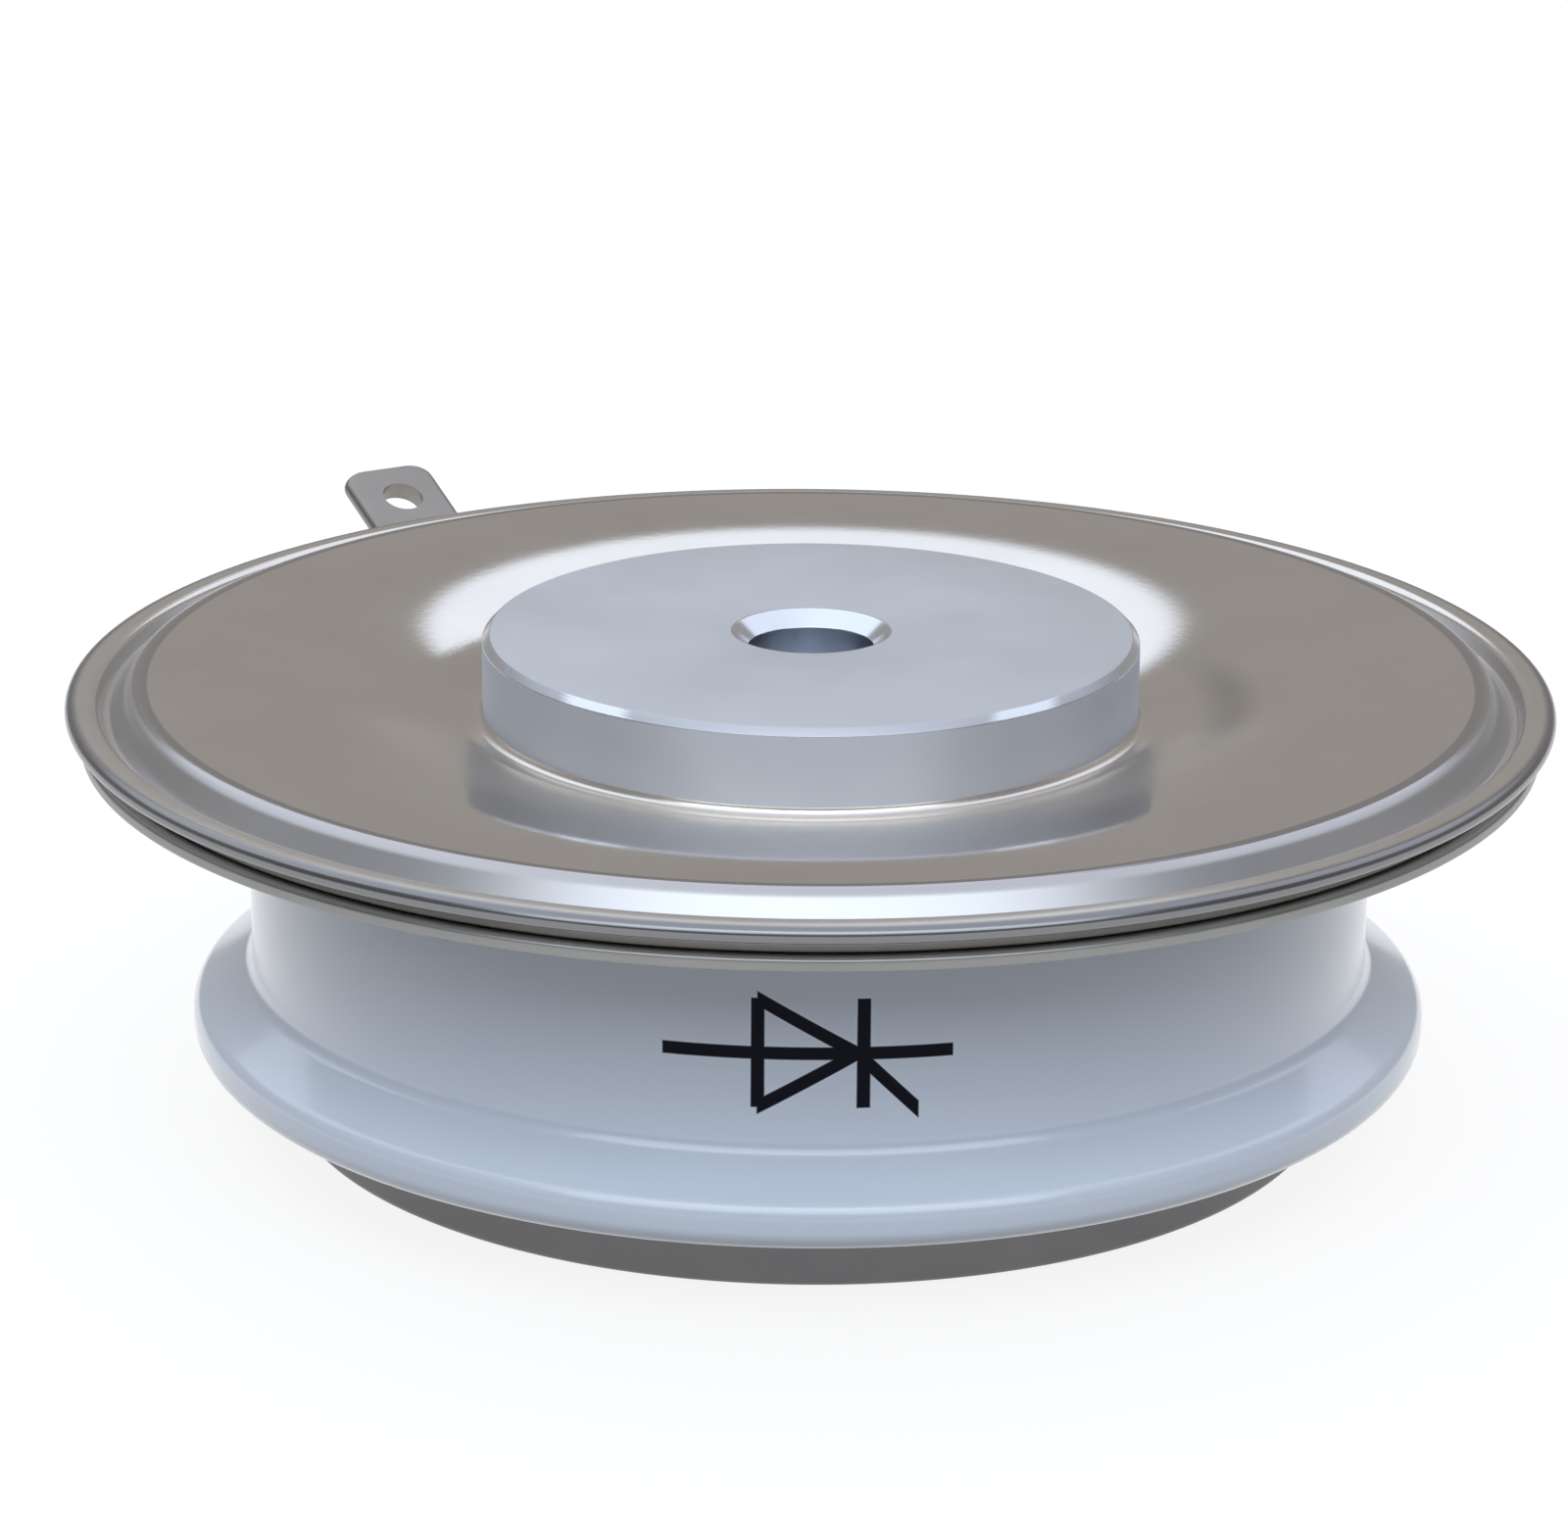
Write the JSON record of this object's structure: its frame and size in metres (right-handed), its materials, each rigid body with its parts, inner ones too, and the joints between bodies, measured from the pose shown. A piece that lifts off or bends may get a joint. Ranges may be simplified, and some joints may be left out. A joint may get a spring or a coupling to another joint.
{
  "type": "disc thyristor",
  "caption": "Round pressure-contact thyristor capsule: ribbed white ceramic ring between plated copper pole faces, with a wide dished and welded rim and a gate tab at the side.",
  "frame": {"origin": "centre of the anode contact face, on the axis of the capsule", "axes": "+Z along the axis towards the cathode contact face; -Y is the side seen in the picture; the gate tab leaves between -X and +Y"},
  "size_m": [0.042, 0.0448, 0.014],
  "materials": {
    "plated_copper": "nickel plated, fine turned finish",
    "flange_sheet": "satin pressed sheet",
    "weld_sheet": "dull plated sheet",
    "ceramic": "white glaze",
    "gate_nickel": "dull nickel",
    "silver_foil": "soft silver",
    "molybdenum": "lapped grey metal",
    "silicon": "polished dark grey",
    "seal_rubber": "silicone",
    "resin": "white insulating resin",
    "spring_steel": "spring steel"
  },
  "bodies": {
    "root": {"anode_pole": "plated_copper", "anode_flange": "flange_sheet", "ceramic_ring": "ceramic", "weld_ring": "weld_sheet", "cathode_flange": "flange_sheet", "cathode_pole": "plated_copper", "anode_foil": "silver_foil", "anode_disc": "molybdenum", "silicon_wafer": "silicon", "wafer_seal": "seal_rubber", "cathode_disc": "molybdenum", "cathode_foil": "silver_foil", "locating_ring": "resin", "gate_contact": "gate_nickel", "gate_spring_lower": "spring_steel", "gate_spring_upper": "spring_steel", "gate_washer": "spring_steel", "gate_cup": "resin", "gate_lead": "silver_foil", "gate_sleeve": "resin", "gate_ferrule": "gate_nickel", "gate_tube": "gate_nickel"}
  },
  "joints": []
}
